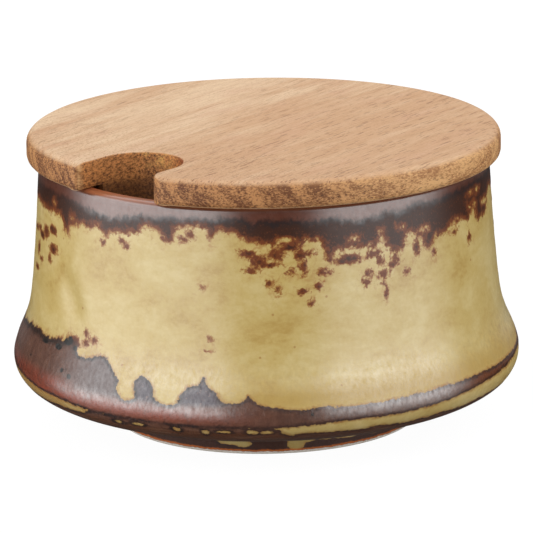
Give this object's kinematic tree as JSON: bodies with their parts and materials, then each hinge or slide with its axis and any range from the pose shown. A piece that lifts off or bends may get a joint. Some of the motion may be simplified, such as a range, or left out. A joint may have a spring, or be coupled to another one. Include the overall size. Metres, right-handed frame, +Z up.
{
  "type": "sugar bowl",
  "caption": "Squat glazed stoneware bowl on a low foot ring, with a loose turned teak lid that has a plug underneath and a spoon notch in its edge.",
  "frame": {"origin": "middle of the foot ring's flat underside", "axes": "+Z up along the bowl's turning axis, -Y towards the mouth of the lid's spoon notch"},
  "size_m": [0.114, 0.114, 0.066],
  "materials": {
    "glazed_stoneware": "ochre satin glaze with dark brown running bands",
    "teak": "bare, lightly oiled, open-pored teak"
  },
  "bodies": {
    "bowl": {"bowl": "glazed_stoneware"},
    "lid": {"lid": "teak"}
  },
  "joints": [
    {"name": "lid_lift", "type": "slide", "parent": "bowl", "child": "lid", "axis": [0, 0, 1], "range_m": [0, 0.06]}
  ]
}
